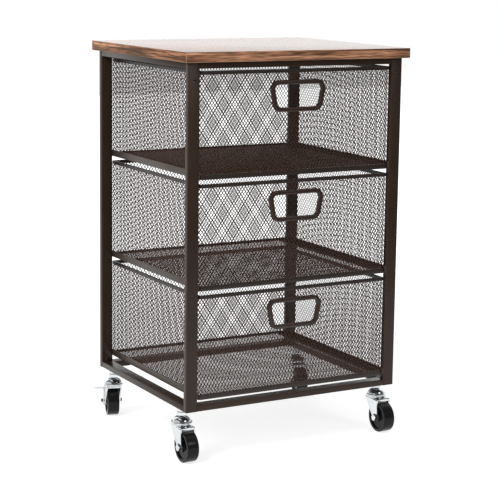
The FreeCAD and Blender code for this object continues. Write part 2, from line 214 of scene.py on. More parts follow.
FRAME_COAT = coated("bronze_powder_coat", BRONZE, BRONZE_RUBBED, rough=FRAME_SATIN, shine=0.25)
frame_nodes = [f"post_{end}_{side}" for end in ENDS for side in SIDES]
frame_nodes += [f"{end}_rail_{level}" for end in ENDS for level in RAIL_LEVELS]
frame_nodes += [f"side_rail_{level}_{side}" for level in RAIL_LEVELS for side in SIDES]
for node in frame_nodes:
    tube = softened(node, FRAME_COAT, TUBE_EDGE_R)
    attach(tube, "frame")

# Runners: folded steel angles welded to the inner faces of the posts. Each has a ledge
# that a drawer slides on, and the ledge's front end stops the drawer's front bar. Same coat
# as the frame, but polished along the ledge by the drawers.
RUNNER_EDGE_R = 0.25 * MM
RUNNER_RUBBED = (0.12, 0.1, 0.085, 1.0)
RUNNER_COAT = coated("runner_powder_coat", BRONZE, RUNNER_RUBBED, wear_and_highlight_share=0.9)
for tier in TIERS:
    for side in SIDES:
        runner = softened(f"runner_{tier}_{side}", RUNNER_COAT, RUNNER_EDGE_R)
        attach(runner, "frame")

# Post screws: small pan-head machine screws with a cross recess, one in the front face of
# each post, that pull the welded side frames and the cross rails together. Blackened steel.
SCREW_HEAD_R = 3.5 * MM
SCREW_HEAD_H = 1.8 * MM
RECESS_W = 1.0 * MM
RECESS_R = 2.0 * MM
RECESS_DEPTH = 1.0 * MM
FRONT_SCREW_DROP = 27.0 * MM
REAR_SCREW_RISE = 14.0 * MM
SCREW_STEEL = (0.05, 0.045, 0.04, 1.0)
SCREW_RUBBED = (0.3, 0.29, 0.28, 1.0)
FACE_FRONT = (math.pi / 2, 0.0, 0.0)


def screw_head():
    """Domed head along +Z with its cross cut in, as a closed mesh."""
    rings = 4
    around = 24
    shape = bmesh.new()
    dome = []
    for i in range(rings):
        tilt = math.pi / 2 * i / rings
        ring = []
        for j in range(around):
            turn = 2 * math.pi * j / around
            reach = SCREW_HEAD_R * math.cos(tilt)
            spot = (reach * math.cos(turn), reach * math.sin(turn), SCREW_HEAD_H * math.sin(tilt))
            ring.append(shape.verts.new(spot))
        dome.append(ring)
    for low, high in zip(dome, dome[1:]):
        for j in range(around):
            k = (j + 1) % around
            shape.faces.new((low[j], low[k], high[k], high[j]))
    shape.faces.new(list(reversed(dome[0])))
    cross = []
    half = RECESS_W / 2
    for x, y in ((1, 0), (0, 1), (-1, 0), (0, -1)):
        along = Vector((x, y, 0))
        across = Vector((-y, x, 0))
        cross.append(along * RECESS_R - across * half)
        cross.append(along * RECESS_R + across * half)
        cross.append(along * half + across * half)
    mouth = [shape.verts.new(spot + Vector((0, 0, SCREW_HEAD_H))) for spot in cross]
    floor = [shape.verts.new(spot + Vector((0, 0, SCREW_HEAD_H - RECESS_DEPTH))) for spot in cross]
    shape.faces.new(floor)
    count = len(cross)
    for j in range(count):
        k = (j + 1) % count
        shape.faces.new((mouth[j], mouth[k], floor[k], floor[j]))
    rim_edges = []
    for ring in (dome[-1], mouth):
        for j in range(len(ring)):
            pair = (ring[j], ring[(j + 1) % len(ring)])
            rim_edges.append(shape.edges.get(pair) or shape.edges.new(pair))
    bmesh.ops.triangle_fill(shape, use_beauty=True, edges=rim_edges)
    bmesh.ops.recalc_face_normals(shape, faces=shape.faces)
    mesh = bpy.data.meshes.new("screw_head")
    shape.to_mesh(mesh)
    shape.free()
    return mesh


def screw_tree():
    """Sets one screw head on every vertex of the carrier mesh, all turned the same way."""
    tree = bpy.data.node_groups.new("set_screws", "GeometryNodeTree")
    add_socket(tree, "Places", "INPUT", "NodeSocketGeometry")
    add_socket(tree, "Head", "INPUT", "NodeSocketObject")
    add_socket(tree, "Turn", "INPUT", "NodeSocketVector")
    add_socket(tree, "Finish", "INPUT", "NodeSocketMaterial")
    add_socket(tree, "Screws", "OUTPUT", "NodeSocketGeometry")
    nodes = tree.nodes
    links = tree.links
    given = nodes.new("NodeGroupInput")
    result = nodes.new("NodeGroupOutput")
    head = nodes.new("GeometryNodeObjectInfo")
    spread = nodes.new("GeometryNodeInstanceOnPoints")
    real = nodes.new("GeometryNodeRealizeInstances")
    finish = nodes.new("GeometryNodeSetMaterial")
    links.new(given.outputs["Head"], head.inputs["Object"])
    links.new(given.outputs["Places"], spread.inputs["Points"])
    links.new(head.outputs["Geometry"], spread.inputs["Instance"])
    links.new(given.outputs["Turn"], spread.inputs["Rotation"])
    links.new(spread.outputs["Instances"], real.inputs["Geometry"])
    links.new(real.outputs["Geometry"], finish.inputs["Geometry"])
    links.new(given.outputs["Finish"], finish.inputs["Material"])
    links.new(finish.outputs["Geometry"], result.inputs["Screws"])
    return tree


def grown(name, carrier, tree, values, material):
    """Run a Geometry Nodes tree on a carrier mesh and keep the result as a plain piece."""
    holder = bpy.data.objects.new(name + "_carrier", carrier)
    bpy.context.scene.collection.objects.link(holder)
    modifier = holder.modifiers.new("grow", "NODES")
    modifier.node_group = tree
    for item in tree.interface.items_tree:
        if item.in_out == "INPUT" and item.name in values:
            modifier[item.identifier] = values[item.name]
    bpy.context.view_layer.update()
    depsgraph = bpy.context.evaluated_depsgraph_get()
    mesh = bpy.data.meshes.new_from_object(holder.evaluated_get(depsgraph), depsgraph=depsgraph)
    holder.modifiers.remove(modifier)
    bpy.data.objects.remove(holder)
    mesh.name = name
    return put(name, mesh, material)


SCREW_FINISH = coated("blackened_screw", SCREW_STEEL, SCREW_RUBBED, wear_and_highlight_share=1.0, rough=(0.3, 0.45), metallic=0.8)
screw_places = bpy.data.meshes.new("screw_places")
spots = []
for side in SIDES:
    for end in ENDS:
        low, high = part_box(f"post_{end}_{side}")
        height = high.z - FRONT_SCREW_DROP if end == "front" else low.z + REAR_SCREW_RISE
        spots.append(((low.x + high.x) / 2, low.y, height))
screw_places.from_pydata(spots, [], [])
head_pattern = put("screw_head_pattern", screw_head(), SCREW_FINISH)
screws = grown("post_screws", screw_places, screw_tree(),
               {"Head": head_pattern, "Turn": FACE_FRONT, "Finish": SCREW_FINISH}, SCREW_FINISH)
bpy.data.objects.remove(head_pattern)
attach(screws, "frame")

# Drawer bars: a flat steel hoop at the rim keeps each drawer in shape, and a lower band rides
# on the runners. Both are bent bar, coated in the same bronze; their darker colour is painted shade.
# Darker copy of the frame bronze: painted shade on the drawer bars.
BAR_COLOR_PAINTED_SHADE = (0.026, 0.0155, 0.011, 1.0)
BAR_RUBBED = (0.085, 0.066, 0.055, 1.0)
RIM_EDGE_R = 0.8 * MM
BAND_EDGE_R = 0.9 * MM
BAR_COAT_PAINTED_SHADE = coated("drawer_bar_coat_painted_shade", BAR_COLOR_PAINTED_SHADE, BAR_RUBBED, wear_and_highlight_share=0.6)
for tier in TIERS:
    for bar, edge_r in (("rim", RIM_EDGE_R), ("band", BAND_EDGE_R)):
        hoop = softened(f"drawer_{tier}_{bar}", BAR_COAT_PAINTED_SHADE, edge_r, rounds=3)
        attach(hoop, f"drawer_{tier}")

# Handles: a cast ring in a rounded trapezoid, wider at the top, let into the front mesh so
# that the fingers go through it. Rounded all over, brown enamel with a soft shine.
HANDLE_COLOR = (0.038, 0.02, 0.014, 1.0)
HANDLE_RUBBED = (0.11, 0.083, 0.07, 1.0)
HANDLE_EDGE_R = 2.2 * MM
HANDLE_COAT = coated("handle_enamel", HANDLE_COLOR, HANDLE_RUBBED, rough=(0.28, 0.4), bump=0.06)
for tier in TIERS:
    ring = softened(f"drawer_{tier}_handle", HANDLE_COAT, HANDLE_EDGE_R, rounds=5)
    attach(ring, f"drawer_{tier}")

# Mesh walls and floors: expanded steel sheet, slit and stretched into small standing diamonds,
# its strands twisted a little out of the sheet. It is bent round the drawer's corners, welded
# to the bars and coated in dark bronze.
CELL_W = 5.8 * MM
CELL_H = 8.6 * MM
STRAND_W = 1.1 * MM
STRAND_T = 0.32 * MM
STRAND_TILT = math.radians(16.0)
SHEET_INSET = 0.9 * MM
CORNER_TUCK = 0.5 * MM
BEND_R = 4.1 * MM
HANDLE_BAR = 7.0 * MM
HANDLE_SLOPE = 0.19
HANDLE_MID_HALF_W = 47.75 * MM
WINDOW_CORNER = 6.0 * MM
NO_WINDOW = {"Window Half Height": -1.0}
MESH_COLOR = (0.05, 0.02, 0.0115, 1.0)
MESH_RUBBED = (0.075, 0.05, 0.04, 1.0)
MESH_COAT = coated("mesh_coat", MESH_COLOR, MESH_RUBBED, wear_and_highlight_share=0.4, rough=(0.5, 0.65), shine=0.25)


def diamond_mesh_tree():
    """Crossed strands on every cell of a strip of sheet that stands on the carrier's line."""
    tree = bpy.data.node_groups.new("diamond_mesh", "GeometryNodeTree")
    add_socket(tree, "Line", "INPUT", "NodeSocketGeometry")
    add_socket(tree, "Column Pitch", "INPUT", "NodeSocketFloat")
    add_socket(tree, "Row Pitch", "INPUT", "NodeSocketFloat")
    add_socket(tree, "Rows", "INPUT", "NodeSocketInt")
    add_socket(tree, "Strand Width", "INPUT", "NodeSocketFloat")
    add_socket(tree, "Strand Thickness", "INPUT", "NodeSocketFloat")
    add_socket(tree, "Strand Tilt", "INPUT", "NodeSocketFloat")
    add_socket(tree, "Window Height", "INPUT", "NodeSocketFloat")
    add_socket(tree, "Window Half Width", "INPUT", "NodeSocketFloat")
    add_socket(tree, "Window Half Height", "INPUT", "NodeSocketFloat")
    add_socket(tree, "Window Slope", "INPUT", "NodeSocketFloat")
    add_socket(tree, "Window Corner", "INPUT", "NodeSocketFloat")
    add_socket(tree, "Finish", "INPUT", "NodeSocketMaterial")
    add_socket(tree, "Sheet", "OUTPUT", "NodeSocketGeometry")
    nodes = tree.nodes
    links = tree.links
    given = nodes.new("NodeGroupInput")
    result = nodes.new("NodeGroupOutput")

    line = nodes.new("GeometryNodeMeshToCurve")
    links.new(given.outputs["Line"], line.inputs["Mesh"])
    tangent = nodes.new("GeometryNodeInputTangent")
    face_along = nodes.new("FunctionNodeAlignRotationToVector")
    face_along.axis = "X"
    face_along.pivot_axis = "Z"
    links.new(tangent.outputs["Tangent"], face_along.inputs["Vector"])
    column_step = nodes.new("ShaderNodeCombineXYZ")
    links.new(given.outputs["Row Pitch"], column_step.inputs["Z"])
    column = nodes.new("GeometryNodeMeshLine")
    links.new(given.outputs["Rows"], column.inputs["Count"])
    links.new(column_step.outputs["Vector"], column.inputs["Offset"])
    stand = nodes.new("GeometryNodeInstanceOnPoints")
    links.new(line.outputs["Curve"], stand.inputs["Points"])
    links.new(column.outputs["Mesh"], stand.inputs["Instance"])
    links.new(face_along.outputs["Rotation"], stand.inputs["Rotation"])
    turn = nodes.new("GeometryNodeInputInstanceRotation")
    keep_turn = nodes.new("GeometryNodeStoreNamedAttribute")
    keep_turn.data_type = "QUATERNION"
    keep_turn.domain = "INSTANCE"
    keep_turn.inputs["Name"].default_value = "turn"
    links.new(stand.outputs["Instances"], keep_turn.inputs["Geometry"])
    links.new(turn.outputs["Rotation"], keep_turn.inputs["Value"])
    cells = nodes.new("GeometryNodeRealizeInstances")
    links.new(keep_turn.outputs["Geometry"], cells.inputs["Geometry"])

    place = nodes.new("GeometryNodeInputPosition")
    split = nodes.new("ShaderNodeSeparateXYZ")
    links.new(place.outputs["Position"], split.inputs["Vector"])
    rise = math_node(tree, "SUBTRACT", split.outputs["Z"], given.outputs["Window Height"])
    lean = math_node(tree, "MULTIPLY", rise, given.outputs["Window Slope"])
    half_w = math_node(tree, "ADD", given.outputs["Window Half Width"], lean)
    room_x = math_node(tree, "SUBTRACT", half_w, math_node(tree, "ABSOLUTE", split.outputs["X"]))
    off_middle = math_node(tree, "ABSOLUTE", rise)
    room_z = math_node(tree, "SUBTRACT", given.outputs["Window Half Height"], off_middle)
    room_both = math_node(tree, "ADD", room_x, room_z)
    in_x = math_node(tree, "GREATER_THAN", room_x, 0.0)
    in_z = math_node(tree, "GREATER_THAN", room_z, 0.0)
    in_corner = math_node(tree, "GREATER_THAN", room_both, given.outputs["Window Corner"])
    inside = math_node(tree, "MULTIPLY", math_node(tree, "MULTIPLY", in_x, in_z), in_corner)
    window = nodes.new("GeometryNodeDeleteGeometry")
    links.new(cells.outputs["Geometry"], window.inputs["Geometry"])
    links.new(inside, window.inputs["Selection"])

    pitch_x = given.outputs["Column Pitch"]
    pitch_z = given.outputs["Row Pitch"]
    squares = math_node(tree, "ADD", math_node(tree, "MULTIPLY", pitch_x, pitch_x),
                        math_node(tree, "MULTIPLY", pitch_z, pitch_z))
    length = math_node(tree, "SQRT", squares)
    slope = math_node(tree, "ARCTAN2", pitch_z, pitch_x)
    bar_size = nodes.new("ShaderNodeCombineXYZ")
    links.new(length, bar_size.inputs["X"])
    links.new(given.outputs["Strand Thickness"], bar_size.inputs["Y"])
    links.new(given.outputs["Strand Width"], bar_size.inputs["Z"])
    bar = nodes.new("GeometryNodeMeshCube")
    links.new(bar_size.outputs["Vector"], bar.inputs["Size"])
    pair = nodes.new("GeometryNodeJoinGeometry")
    for way in (1.0, -1.0):
        angles = nodes.new("ShaderNodeCombineXYZ")
        links.new(given.outputs["Strand Tilt"], angles.inputs["X"])
        links.new(math_node(tree, "MULTIPLY", slope, way), angles.inputs["Y"])
        strand = nodes.new("GeometryNodeTransform")
        links.new(bar.outputs["Mesh"], strand.inputs["Geometry"])
        links.new(angles.outputs["Vector"], strand.inputs["Rotation"])
        links.new(strand.outputs["Geometry"], pair.inputs["Geometry"])
    kept_turn = nodes.new("GeometryNodeInputNamedAttribute")
    kept_turn.data_type = "QUATERNION"
    kept_turn.inputs["Name"].default_value = "turn"
    weave = nodes.new("GeometryNodeInstanceOnPoints")
    links.new(window.outputs["Geometry"], weave.inputs["Points"])
    links.new(pair.outputs["Geometry"], weave.inputs["Instance"])
    links.new(kept_turn.outputs["Attribute"], weave.inputs["Rotation"])
    real = nodes.new("GeometryNodeRealizeInstances")
    finish = nodes.new("GeometryNodeSetMaterial")
    links.new(weave.outputs["Instances"], real.inputs["Geometry"])
    links.new(real.outputs["Geometry"], finish.inputs["Geometry"])
    links.new(given.outputs["Finish"], finish.inputs["Material"])
    links.new(finish.outputs["Geometry"], result.inputs["Sheet"])
    return tree


DIAMOND_MESH = diamond_mesh_tree()


def spot_on(runs, distance):
    """Point at a distance along a flat line of straight runs and quarter bends."""
    for length, at in runs:
        if distance <= length:
            return at(distance / length)
        distance -= length
    return runs[-1][1](1.0)


def straight(start, end):
    """Length of a straight run, and a function from a share of it to a point."""
    a = Vector(start)
    b = Vector(end)
    return ((b - a).length, lambda share: a.lerp(b, share))


def bend(centre, start_deg, end_deg):
    """The same for a level bend of the sheet about a centre."""
    c = Vector(centre)
    sweep = math.radians(end_deg - start_deg)

    def at(share):
        angle = math.radians(start_deg) + sweep * share
        return c + Vector((math.cos(angle), math.sin(angle), 0)) * BEND_R
    return (abs(sweep) * BEND_R, at)


def sheet_strip(name, runs, height, window=None):
    """Strip of diamond mesh on a line of runs; a window is left open for the handle."""
    total = sum(length for length, at in runs)
    columns = round(total / CELL_W)
    rows = round(height / CELL_H)
    pitch_x = total / columns
    pitch_z = height / rows
    carrier = bpy.data.meshes.new(name + "_line")
    spots = [spot_on(runs, (i + 0.5) * pitch_x) + Vector((0, 0, pitch_z / 2)) for i in range(columns)]
    carrier.from_pydata(spots, [(i, i + 1) for i in range(columns - 1)], [])
    values = {"Column Pitch": pitch_x, "Row Pitch": pitch_z, "Rows": rows, "Strand Width": STRAND_W,
              "Strand Thickness": STRAND_T, "Strand Tilt": STRAND_TILT, "Finish": MESH_COAT}
    values.update(window or NO_WINDOW)
    return grown(name, carrier, DIAMOND_MESH, values, MESH_COAT)


for tier in TIERS:
    low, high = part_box(f"drawer_{tier}_rim")
    wall_low, wall_high = (corner.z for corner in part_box(f"drawer_{tier}_mesh_left"))
    floor_low, floor_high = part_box(f"drawer_{tier}_mesh_floor")
    ring_low, ring_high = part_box(f"drawer_{tier}_handle")
    half_x = high.x - SHEET_INSET
    front_y = low.y + SHEET_INSET
    back_y = high.y - SHEET_INSET
    bend_x = half_x - CORNER_TUCK - BEND_R
    window = {"Window Height": (ring_low.z + ring_high.z) / 2,
              "Window Half Width": HANDLE_MID_HALF_W - HANDLE_BAR / 2,
              "Window Half Height": (ring_high.z - ring_low.z) / 2 - HANDLE_BAR / 2,
              "Window Slope": HANDLE_SLOPE,
              "Window Corner": WINDOW_CORNER}
    front_runs = [bend((-bend_x, front_y + BEND_R, wall_low), 180, 270),
                  straight((-bend_x, front_y, wall_low), (bend_x, front_y, wall_low)),
                  bend((bend_x, front_y + BEND_R, wall_low), 270, 360)]
    back_runs = [bend((bend_x, back_y - BEND_R, wall_low), 0, 90),
                 straight((bend_x, back_y, wall_low), (-bend_x, back_y, wall_low)),
                 bend((-bend_x, back_y - BEND_R, wall_low), 90, 180)]
    right_runs = [straight((half_x, front_y + BEND_R, wall_low), (half_x, back_y - BEND_R, wall_low))]
    left_runs = [straight((-half_x, back_y - BEND_R, wall_low), (-half_x, front_y + BEND_R, wall_low))]
    wall_h = wall_high - wall_low
    panels = {"front": sheet_strip(f"drawer_{tier}_front_sheet", front_runs, wall_h, window),
              "back": sheet_strip(f"drawer_{tier}_back_sheet", back_runs, wall_h),
              "right": sheet_strip(f"drawer_{tier}_right_sheet", right_runs, wall_h),
              "left": sheet_strip(f"drawer_{tier}_left_sheet", left_runs, wall_h)}
    floor_runs = [straight((floor_low.x, 0, 0), (floor_high.x, 0, 0))]
    floor_sheet = sheet_strip(f"drawer_{tier}_floor_sheet", floor_runs, floor_high.y - floor_low.y)
    lay_down = Matrix.Translation((0, floor_low.y, (floor_low.z + floor_high.z) / 2))
    floor_sheet.data.transform(lay_down @ Matrix.Rotation(-math.pi / 2, 4, "X"))
    panels["floor"] = floor_sheet
    for wall, sheet in panels.items():
        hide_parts(f"drawer_{tier}_mesh_{wall}")
        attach(sheet, f"drawer_{tier}")

# Top board: particle board faced with a wood-grain laminate and edged with a matching strip,
# laid on the frame and screwed from below. Brown with dark streaks, under a satin lacquer that
# reflects the room at a low angle; the pale line along the arrises is a painted highlight.
WOOD_DARK = (0.075, 0.028, 0.014, 1.0)
WOOD_MID = (0.33, 0.142, 0.074, 1.0)
WOOD_LIGHT = (0.57, 0.29, 0.162, 1.0)
# Pale colour on the board's arrises: a painted highlight, not wear.
WOOD_ARRIS_PAINTED_HIGHLIGHT = (0.5, 0.33, 0.22, 1.0)
BOARD_ARRIS_R = 0.3 * MM
LACQUER_ROUGH = 0.22
LACQUER_IOR = 1.8
WOOD_SHINE = 0.04
END_NORMAL = 0.7
FACE_NORMAL = 0.9
FIGURE_NOISE = {"Scale": 2.2, "Detail": 7.0, "Distortion": 1.1}
FIBRE_NOISE = {"Scale": 2.0, "Detail": 3.0}
FIGURE_STEPS = (0.42, 0.54, 0.7)
FIGURE_STRETCH = (2.4, 42.0, 75.0)
FIBRE_STRETCH = (17.0, 360.0, 400.0)
STREAK_NOISE = (0.36, 0.62)
STREAK_TONE = (0.2, 1.6)
# Pointiness range and share of the painted arris highlight.
ARRIS_HIGHLIGHT_POINTINESS = (0.52, 0.62)
ARRIS_HIGHLIGHT_SHARE = 0.6
FIBRE_ROUGH = (0.3, 0.5)
FIBRE_RELIEF = 0.08 * MM
FIBRE_BUMP = 0.15


def wood_laminate():
    """Streaked wood print whose grain runs along each edge, lacquered on the upper face alone."""
    material = bpy.data.materials.new("wood_laminate")
    material.use_nodes = True
    tree = material.node_tree
    nodes = tree.nodes
    links = tree.links
    surface = nodes["Principled BSDF"]
    surface.inputs["Coat Roughness"].default_value = LACQUER_ROUGH
    surface.inputs["Coat IOR"].default_value = LACQUER_IOR
    surface.inputs["Specular IOR Level"].default_value = WOOD_SHINE
    place = nodes.new("ShaderNodeTexCoord")
    geometry = nodes.new("ShaderNodeNewGeometry")
    facing = nodes.new("ShaderNodeSeparateXYZ")
    links.new(geometry.outputs["Normal"], facing.inputs["Vector"])
    sideways = math_node(tree, "ABSOLUTE", facing.outputs["X"])
    is_end = math_node(tree, "GREATER_THAN", sideways, END_NORMAL)
    is_face = math_node(tree, "GREATER_THAN", facing.outputs["Z"], FACE_NORMAL)
    links.new(is_face, surface.inputs["Coat Weight"])
    spot = nodes.new("ShaderNodeSeparateXYZ")
    links.new(place.outputs["Object"], spot.inputs["Vector"])
    turned = nodes.new("ShaderNodeCombineXYZ")
    links.new(spot.outputs["Y"], turned.inputs["X"])
    links.new(spot.outputs["X"], turned.inputs["Y"])
    links.new(spot.outputs["Z"], turned.inputs["Z"])
    along = nodes.new("ShaderNodeMix")
    along.data_type = "VECTOR"
    links.new(is_end, along.inputs["Factor"])
    links.new(place.outputs["Object"], along.inputs["A"])
    links.new(turned.outputs["Vector"], along.inputs["B"])
    stretch = nodes.new("ShaderNodeMapping")
    stretch.inputs["Scale"].default_value = FIGURE_STRETCH
    links.new(along.outputs["Result"], stretch.inputs["Vector"])
    figure = nodes.new("ShaderNodeTexNoise")
    for name, value in FIGURE_NOISE.items():
        figure.inputs[name].default_value = value
    links.new(stretch.outputs["Vector"], figure.inputs["Vector"])
    fibre_stretch = nodes.new("ShaderNodeMapping")
    fibre_stretch.inputs["Scale"].default_value = FIBRE_STRETCH
    links.new(along.outputs["Result"], fibre_stretch.inputs["Vector"])
    fibre = nodes.new("ShaderNodeTexNoise")
    for name, value in FIBRE_NOISE.items():
        fibre.inputs[name].default_value = value
    links.new(fibre_stretch.outputs["Vector"], fibre.inputs["Vector"])
    ramp = nodes.new("ShaderNodeValToRGB")
    ramp.color_ramp.elements[0].position = FIGURE_STEPS[0]
    ramp.color_ramp.elements[0].color = WOOD_DARK
    ramp.color_ramp.elements[1].position = FIGURE_STEPS[2]
    ramp.color_ramp.elements[1].color = WOOD_LIGHT
    middle = ramp.color_ramp.elements.new(FIGURE_STEPS[1])
    middle.color = WOOD_MID
    links.new(figure.outputs["Fac"], ramp.inputs["Fac"])
    streak = nodes.new("ShaderNodeMapRange")
    streak.inputs["From Min"].default_value = STREAK_NOISE[0]
    streak.inputs["From Max"].default_value = STREAK_NOISE[1]
    streak.inputs["To Min"].default_value = STREAK_TONE[0]
    streak.inputs["To Max"].default_value = STREAK_TONE[1]
    links.new(fibre.outputs["Fac"], streak.inputs["Value"])
    grain = nodes.new("ShaderNodeMix")
    grain.data_type = "RGBA"
    grain.blend_type = "MULTIPLY"
    grain.inputs["Factor"].default_value = 1.0
    links.new(ramp.outputs["Color"], grain.inputs["A"])
    links.new(streak.outputs["Result"], grain.inputs["B"])
    # Pale line along the board's sharp arrises: painted highlight mixed into the wood colour.
    edge = nodes.new("ShaderNodeMapRange")
    edge.inputs["From Min"].default_value = ARRIS_HIGHLIGHT_POINTINESS[0]
    edge.inputs["From Max"].default_value = ARRIS_HIGHLIGHT_POINTINESS[1]
    edge.inputs["To Max"].default_value = ARRIS_HIGHLIGHT_SHARE
    links.new(geometry.outputs["Pointiness"], edge.inputs["Value"])
    pale_edge_mix = nodes.new("ShaderNodeMix")
    pale_edge_mix.data_type = "RGBA"
    links.new(edge.outputs["Result"], pale_edge_mix.inputs["Factor"])
    links.new(grain.outputs["Result"], pale_edge_mix.inputs["A"])
    pale_edge_mix.inputs["B"].default_value = WOOD_ARRIS_PAINTED_HIGHLIGHT
    links.new(pale_edge_mix.outputs["Result"], surface.inputs["Base Color"])
    gloss = nodes.new("ShaderNodeMapRange")
    gloss.inputs["To Min"].default_value = FIBRE_ROUGH[0]
    gloss.inputs["To Max"].default_value = FIBRE_ROUGH[1]
    links.new(fibre.outputs["Fac"], gloss.inputs["Value"])
    links.new(gloss.outputs["Result"], surface.inputs["Roughness"])
    relief = nodes.new("ShaderNodeBump")
    relief.inputs["Strength"].default_value = FIBRE_BUMP
    relief.inputs["Distance"].default_value = FIBRE_RELIEF
    links.new(fibre.outputs["Fac"], relief.inputs["Height"])
    links.new(relief.outputs["Normal"], surface.inputs["Normal"])
    return material


board = softened("top_board", wood_laminate(), BOARD_ARRIS_R)
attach(board, "frame")

# Caster stems: a threaded steel stem screwed up into the bottom rail and locked by a hexagon
# nut, with a second hexagon on top of the domed, rolled-edge bearing cap. Bright zinc plate.
ZINC = (0.8, 0.84, 0.86, 1.0)
ZINC_RUBBED = (0.95, 0.95, 0.95, 1.0)
ZINC_PLATE = coated("bright_zinc_plate", ZINC, ZINC_RUBBED, grain_scale=600.0, wear_and_highlight_share=0.3, rough=(0.07, 0.16),
                    bump=0.03, metallic=1.0)
HEX_ACROSS = 13.0 * MM
HEX_SINK = 0.3 * MM
NUT_H = 5.6 * MM
NUT_CUT = 0.9 * MM
NUT_CUT_H = 0.54 * MM
THREAD_PITCH = 1.25 * MM
THREAD_DEPTH = 0.5 * MM
CREST_AT = 0.25
ROOT_AT = 0.75
STEM_R = 5.0 * MM
KINGPIN_R = 4.0 * MM
CAP_GAP = 0.3 * MM
CAP_R = 17.5 * MM
CAP_H = 15.0 * MM
CAP_RIM_H = 5.0 * MM
# Edge of the cap as (inset from its radius, rise above its foot): lower race, groove, rolled rim.
CAP_EDGE_MM = [(1.6, 0.0), (1.1, 0.5), (1.1, 1.9), (1.9, 2.3), (1.9, 2.8), (0.5, 3.2), (0.0, 3.7), (0.0, 4.5),
               (0.5, 5.0), (1.8, 5.0), (2.6, 4.6)]
DOME_STEPS = 12
TURN_STEPS = 56
THREAD_TURN_STEPS = 24


def lathe(name, outline, steps=TURN_STEPS, closed=False):
    """Mesh of an outline of (radius, height) points turned about Z; a closed outline makes a ring."""
    shape = bmesh.new()
    rings = []
    for radius, height in outline:
        if radius == 0:
            rings.append([shape.verts.new((0, 0, height))])
            continue
        turn = [2 * math.pi * j / steps for j in range(steps)]
        rings.append([shape.verts.new((radius * math.cos(a), radius * math.sin(a), height)) for a in turn])
    pairs = list(zip(rings, rings[1:]))
    if closed:
        pairs.append((rings[-1], rings[0]))
    for low, high in pairs:
        for j in range(steps):
            k = (j + 1) % steps
            corners = [low[0]] if len(low) == 1 else [low[j], low[k]]
            corners += [high[0]] if len(high) == 1 else [high[k], high[j]]
            shape.faces.new(corners)
    bmesh.ops.recalc_face_normals(shape, faces=shape.faces)
    mesh = bpy.data.meshes.new(name)
    shape.to_mesh(mesh)
    shape.free()
    return mesh


def hexagon_nut(low, height):
    """Hexagon with a chamfered crown above and below, on the Z axis."""
    shape = bmesh.new()
    corner = HEX_ACROSS / math.sqrt(3)
    levels = ((corner - NUT_CUT, low), (corner, low + NUT_CUT_H), (corner, low + height - NUT_CUT_H),
              (corner - NUT_CUT, low + height))
    rings = []
    for radius, z in levels:
        turn = [math.radians(60 * j + 30) for j in range(6)]
        rings.append([shape.verts.new((radius * math.cos(a), radius * math.sin(a), z)) for a in turn])
    for under, over in zip(rings, rings[1:]):
        for j in range(6):
            k = (j + 1) % 6
            shape.faces.new((under[j], under[k], over[k], over[j]))
    shape.faces.new(list(reversed(rings[0])))
    shape.faces.new(rings[-1])
    mesh = bpy.data.meshes.new("hexagon_nut")
    shape.to_mesh(mesh)
    shape.free()
    return mesh


def joined(name, parts):
    """One mesh from (mesh, matrix) parts."""
    whole = bmesh.new()
    for mesh, matrix in parts:
        copy = mesh.copy()
        copy.transform(matrix)
        whole.from_mesh(copy)
        bpy.data.meshes.remove(copy)
    mesh = bpy.data.meshes.new(name)
    whole.to_mesh(mesh)
    whole.free()
    smooth(mesh)
    return mesh


stems_low, stems_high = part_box("caster_stems")
rail_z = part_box("side_rail_bottom_left")[0].z
crown_z = stems_low.z
cap_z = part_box("caster_fork_front_left")[1].z + CAP_GAP
cap_rim_z = cap_z + CAP_RIM_H
hex_z = cap_z + CAP_H
nut_z = rail_z - NUT_H
cap_outline = [(0, crown_z), (KINGPIN_R, crown_z), (KINGPIN_R, cap_z)]
cap_outline += [(CAP_R - inset * MM, cap_z + rise * MM) for inset, rise in CAP_EDGE_MM]
dome_r = cap_outline[-1][0]
dome_h = hex_z - cap_rim_z
for i in range(1, DOME_STEPS):
    tilt = math.pi / 2 * i / DOME_STEPS
    cap_outline.append((dome_r * math.cos(tilt), cap_rim_z + dome_h * math.sin(tilt)))
cap_outline.append((0, hex_z))
thread_outline = [(0, hex_z), (STEM_R, hex_z)]
thread_steps = int((stems_high.z - hex_z) / THREAD_PITCH)
for i in range(thread_steps):
    thread_outline.append((STEM_R, hex_z + (i + CREST_AT) * THREAD_PITCH))
    thread_outline.append((STEM_R - THREAD_DEPTH, hex_z + (i + ROOT_AT) * THREAD_PITCH))
thread_outline.append((0, stems_high.z))
stem_parts = [lathe("bearing_cap", cap_outline), lathe("thread", thread_outline, steps=THREAD_TURN_STEPS),
              hexagon_nut(hex_z - HEX_SINK, NUT_H), hexagon_nut(nut_z, NUT_H)]
CASTERS = [f"{end}_{side}" for end in ENDS for side in SIDES]
JOINTS = {joint["name"]: joint for joint in frame["joints"]}
stem_spots = [JOINTS[f"swivel_{key}"]["pos_m"] for key in CASTERS]
stem_places = [Matrix.Translation((spot[0], spot[1], 0)) for spot in stem_spots]
stem_mesh = joined("caster_stem_set", [(part, at) for at in stem_places for part in stem_parts])
stems = put("caster_stem_set", stem_mesh, ZINC_PLATE)
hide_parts("caster_stems")
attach(stems, "frame")

# Caster forks: pressed steel, bent over the wheel and zinc plated, with a bolt through the two
# eyes for an axle. The rear pair has a stamped brake lever on the axle, its tab turned outwards.
FORK_EDGE_R = 0.45 * MM
LEVER_EDGE_R = 0.4 * MM
for key in CASTERS:
    fork = softened(f"caster_fork_{key}", ZINC_PLATE, FORK_EDGE_R, rounds=3)
    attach(fork, f"caster_{key}")
for side in SIDES:
    lever = softened(f"brake_lever_rear_{side}", ZINC_PLATE, LEVER_EDGE_R)
    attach(lever, f"brake_rear_{side}")

